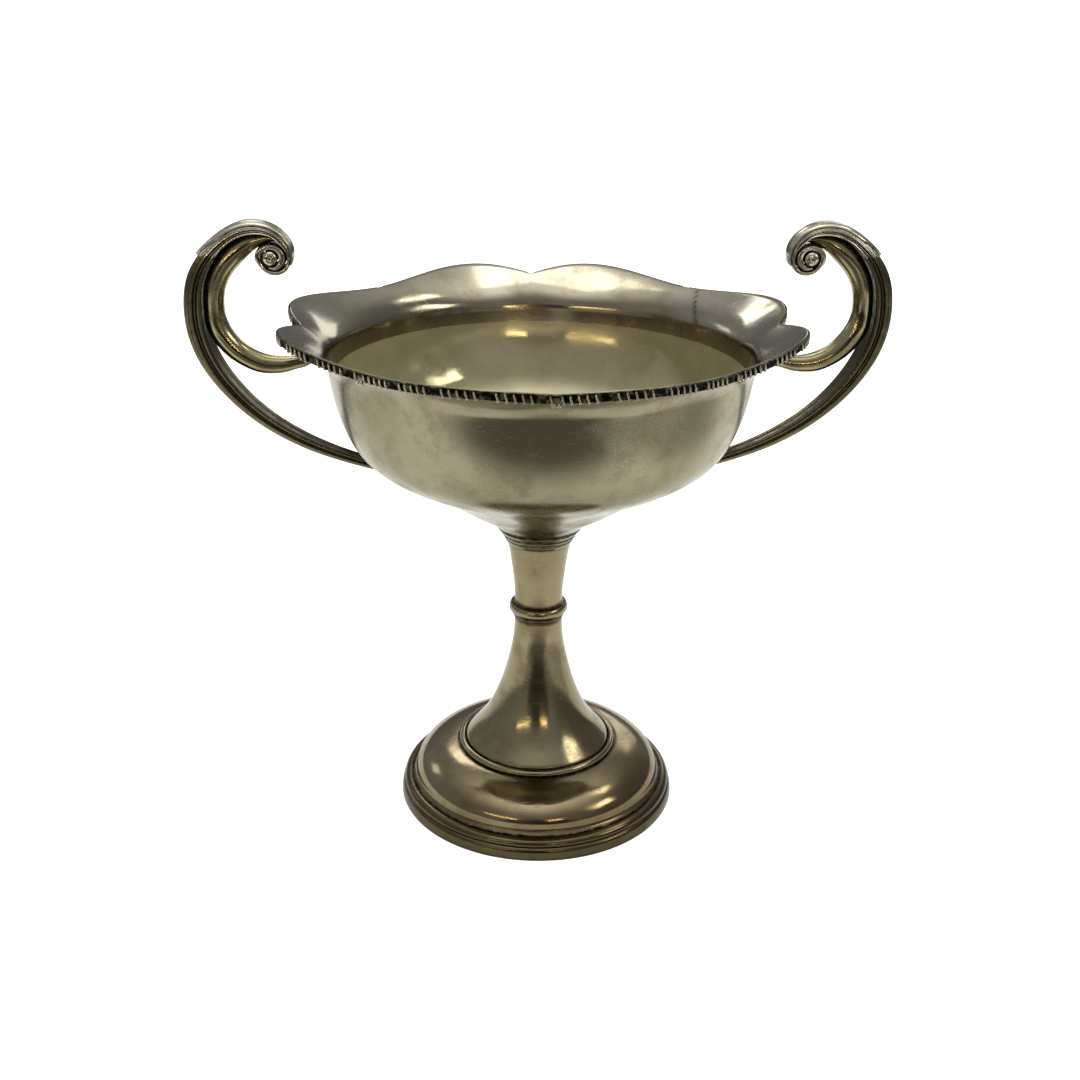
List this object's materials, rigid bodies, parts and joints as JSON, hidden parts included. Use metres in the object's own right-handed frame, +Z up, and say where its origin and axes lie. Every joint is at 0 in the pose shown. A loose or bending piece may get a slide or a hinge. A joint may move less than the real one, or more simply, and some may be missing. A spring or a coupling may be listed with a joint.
{
  "type": "two-handled pedestal dish",
  "caption": "Lobed metal bowl on a knopped trumpet stem and stepped round foot, with a pair of scroll handles that rise above the rim.",
  "frame": {"origin": "centre of the foot's underside, on the surface that the dish stands on", "axes": "+Z up along the axis of the stem, the handles along +X and -X, -Y the front"},
  "size_m": [0.3526, 0.2578, 0.3195],
  "materials": {
    "bowl_plate": "polished silver plate, worn and lightly tarnished",
    "stem_plate": "polished silver plate, warm tarnish in the grooves",
    "foot_plate": "polished silver plate with brown tarnish",
    "handle_plate": "cast silver plate, dark tarnish between the reeds",
    "border_plate": "cast silver plate, blackened in the recesses"
  },
  "bodies": {
    "root": {"bowl": "bowl_plate", "foot_bead_ring": "foot_plate", "foot_dome": "foot_plate", "foot_roll": "foot_plate", "foot_skirt": "foot_plate", "knop_ring": "stem_plate", "lower_stem": "stem_plate", "stem_collar": "stem_plate", "upper_stem": "stem_plate", "rim_border_1": "border_plate", "rim_border_2": "border_plate", "rim_border_3": "border_plate", "rim_border_4": "border_plate", "rim_border_5": "border_plate", "rim_border_6": "border_plate", "rim_border_7": "border_plate", "rim_border_8": "border_plate", "notch_drop_1": "border_plate", "notch_drop_2": "border_plate", "notch_drop_3": "border_plate", "notch_drop_4": "border_plate", "notch_drop_5": "border_plate", "notch_drop_6": "border_plate", "handle_right_strap": "handle_plate", "handle_right_scroll_tube": "handle_plate", "handle_right_leaf_cap": "handle_plate", "handle_right_scroll_pin": "handle_plate", "handle_right_rim_lug": "handle_plate", "handle_left_strap": "handle_plate", "handle_left_scroll_tube": "handle_plate", "handle_left_leaf_cap": "handle_plate", "handle_left_scroll_pin": "handle_plate", "handle_left_rim_lug": "handle_plate"}
  },
  "joints": []
}
